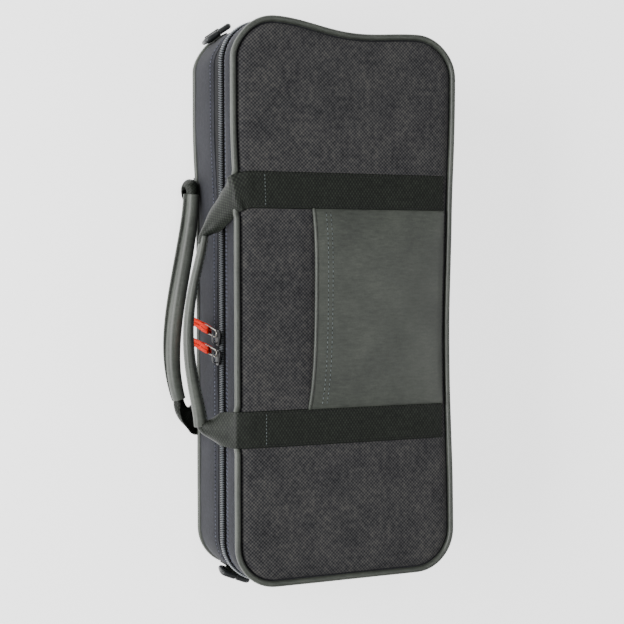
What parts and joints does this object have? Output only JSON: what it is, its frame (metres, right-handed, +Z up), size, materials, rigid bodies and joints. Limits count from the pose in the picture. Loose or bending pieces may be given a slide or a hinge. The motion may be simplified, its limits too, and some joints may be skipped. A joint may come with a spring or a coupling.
{
  "type": "clarinet case",
  "caption": "Flat soft-sided clarinet case with rounded corners, a zip round three sides, a hinged lid with a leatherette pocket between webbing straps, and a padded grip on each half.",
  "frame": {"origin": "middle of the footprint, on the surface that the case's two lower straps rest on", "axes": "+X along the case's length towards the pocket's wider side and the bell's well, +Y towards the hinge side away from the grips, +Z up through the lid"},
  "size_m": [0.4152, 0.2054, 0.0964],
  "materials": {
    "panel_cloth": "charcoal twill-weave polyester over a foam-backed board",
    "side_cloth": "purple-grey twill-weave polyester over foam",
    "leatherette": "grey-green artificial leather with a fine streaked grain",
    "webbing": "green-black herringbone webbing, slightly shiny",
    "zip_tape": "dark woven zip tape",
    "zip_coil": "dark nylon coil",
    "black_metal": "glossy black enamel on a zinc casting",
    "bright_wire": "bright steel wire",
    "pull_cord": "red-orange ribbed cord",
    "black_plastic": "satin black moulded nylon",
    "plush": "short black plush over foam"
  },
  "bodies": {
    "base": {"base_panel": "panel_cloth", "base_wall": "side_cloth", "base_piping": "leatherette", "base_zip_tape": "zip_tape", "base_zip_teeth": "zip_coil", "base_spine": "side_cloth", "base_strap_head": "webbing", "base_strap_foot": "webbing", "zip_stop_head": "black_metal", "zip_stop_foot": "black_metal", "joint_cradle": "plush", "bell_cradle": "plush", "loop_tab_head": "webbing", "loop_tab_foot": "webbing"},
    "lid": {"lid_panel": "panel_cloth", "lid_wall": "side_cloth", "lid_piping": "leatherette", "lid_lining": "plush", "lid_zip_tape": "zip_tape", "lid_zip_teeth": "zip_coil", "lid_spine": "side_cloth", "lid_strap_head": "webbing", "lid_strap_foot": "webbing", "pocket_panel": "leatherette", "pocket_binding": "leatherette"},
    "lid_handle": {"lid_grip": "leatherette", "lid_tail_head": "webbing", "lid_tail_foot": "webbing"},
    "base_handle": {"base_grip": "leatherette", "base_tail_head": "webbing", "base_tail_foot": "webbing"},
    "slider_a": {"slider_a": "black_metal"},
    "slider_b": {"slider_b": "black_metal"},
    "pull_a": {"pull_wire_a": "bright_wire", "pull_cord_a": "pull_cord"},
    "pull_b": {"pull_wire_b": "bright_wire", "pull_cord_b": "pull_cord"},
    "strap_loop_head": {"strap_loop_head": "black_plastic"},
    "strap_loop_foot": {"strap_loop_foot": "black_plastic"},
    "accessory_lid": {"accessory_lid": "plush", "accessory_tab": "webbing"}
  },
  "joints": [
    {"name": "lid_hinge", "type": "hinge", "parent": "base", "child": "lid", "pos_m": [0.00008, 0.10319, 0.0591], "axis": [-1, 0, 0], "range_deg": [0, 180]},
    {"name": "lid_handle_swing", "type": "hinge", "parent": "lid", "child": "lid_handle", "pos_m": [0.00008, -0.07301, 0.0896], "axis": [-1, 0, 0], "range_deg": [0, 90]},
    {"name": "base_handle_swing", "type": "hinge", "parent": "base", "child": "base_handle", "pos_m": [0.00008, -0.07301, 0.0007], "axis": [1, 0, 0], "range_deg": [-8, 12]},
    {"name": "slider_a_slide", "type": "slide", "parent": "base", "child": "slider_a", "axis": [-1, 0, 0], "range_m": [0, 0.18]},
    {"name": "slider_b_slide", "type": "slide", "parent": "base", "child": "slider_b", "axis": [1, 0, 0], "range_m": [0, 0.118]},
    {"name": "pull_a_swing", "type": "hinge", "parent": "slider_a", "child": "pull_a", "pos_m": [0.02038, -0.07671, 0.0591], "axis": [0, 0.9816, -0.1908], "range_deg": [0, 75]},
    {"name": "pull_b_swing", "type": "hinge", "parent": "slider_b", "child": "pull_b", "pos_m": [0.03438, -0.07671, 0.0591], "axis": [0, -0.9816, 0.1908], "range_deg": [0, 58]},
    {"name": "strap_loop_head_swing", "type": "hinge", "parent": "base", "child": "strap_loop_head", "pos_m": [-0.19896, -0.05994, 0.0105], "axis": [0.5736, -0.8192, 0], "range_deg": [0, 110]},
    {"name": "strap_loop_foot_swing", "type": "hinge", "parent": "base", "child": "strap_loop_foot", "pos_m": [0.19967, -0.05337, 0.0265], "axis": [0.3746, 0.9272, 0], "range_deg": [0, 160]},
    {"name": "accessory_lid_hinge", "type": "hinge", "parent": "base", "child": "accessory_lid", "pos_m": [0.00008, 0.08469, 0.052], "axis": [-1, 0, 0], "range_deg": [0, 90]}
  ]
}
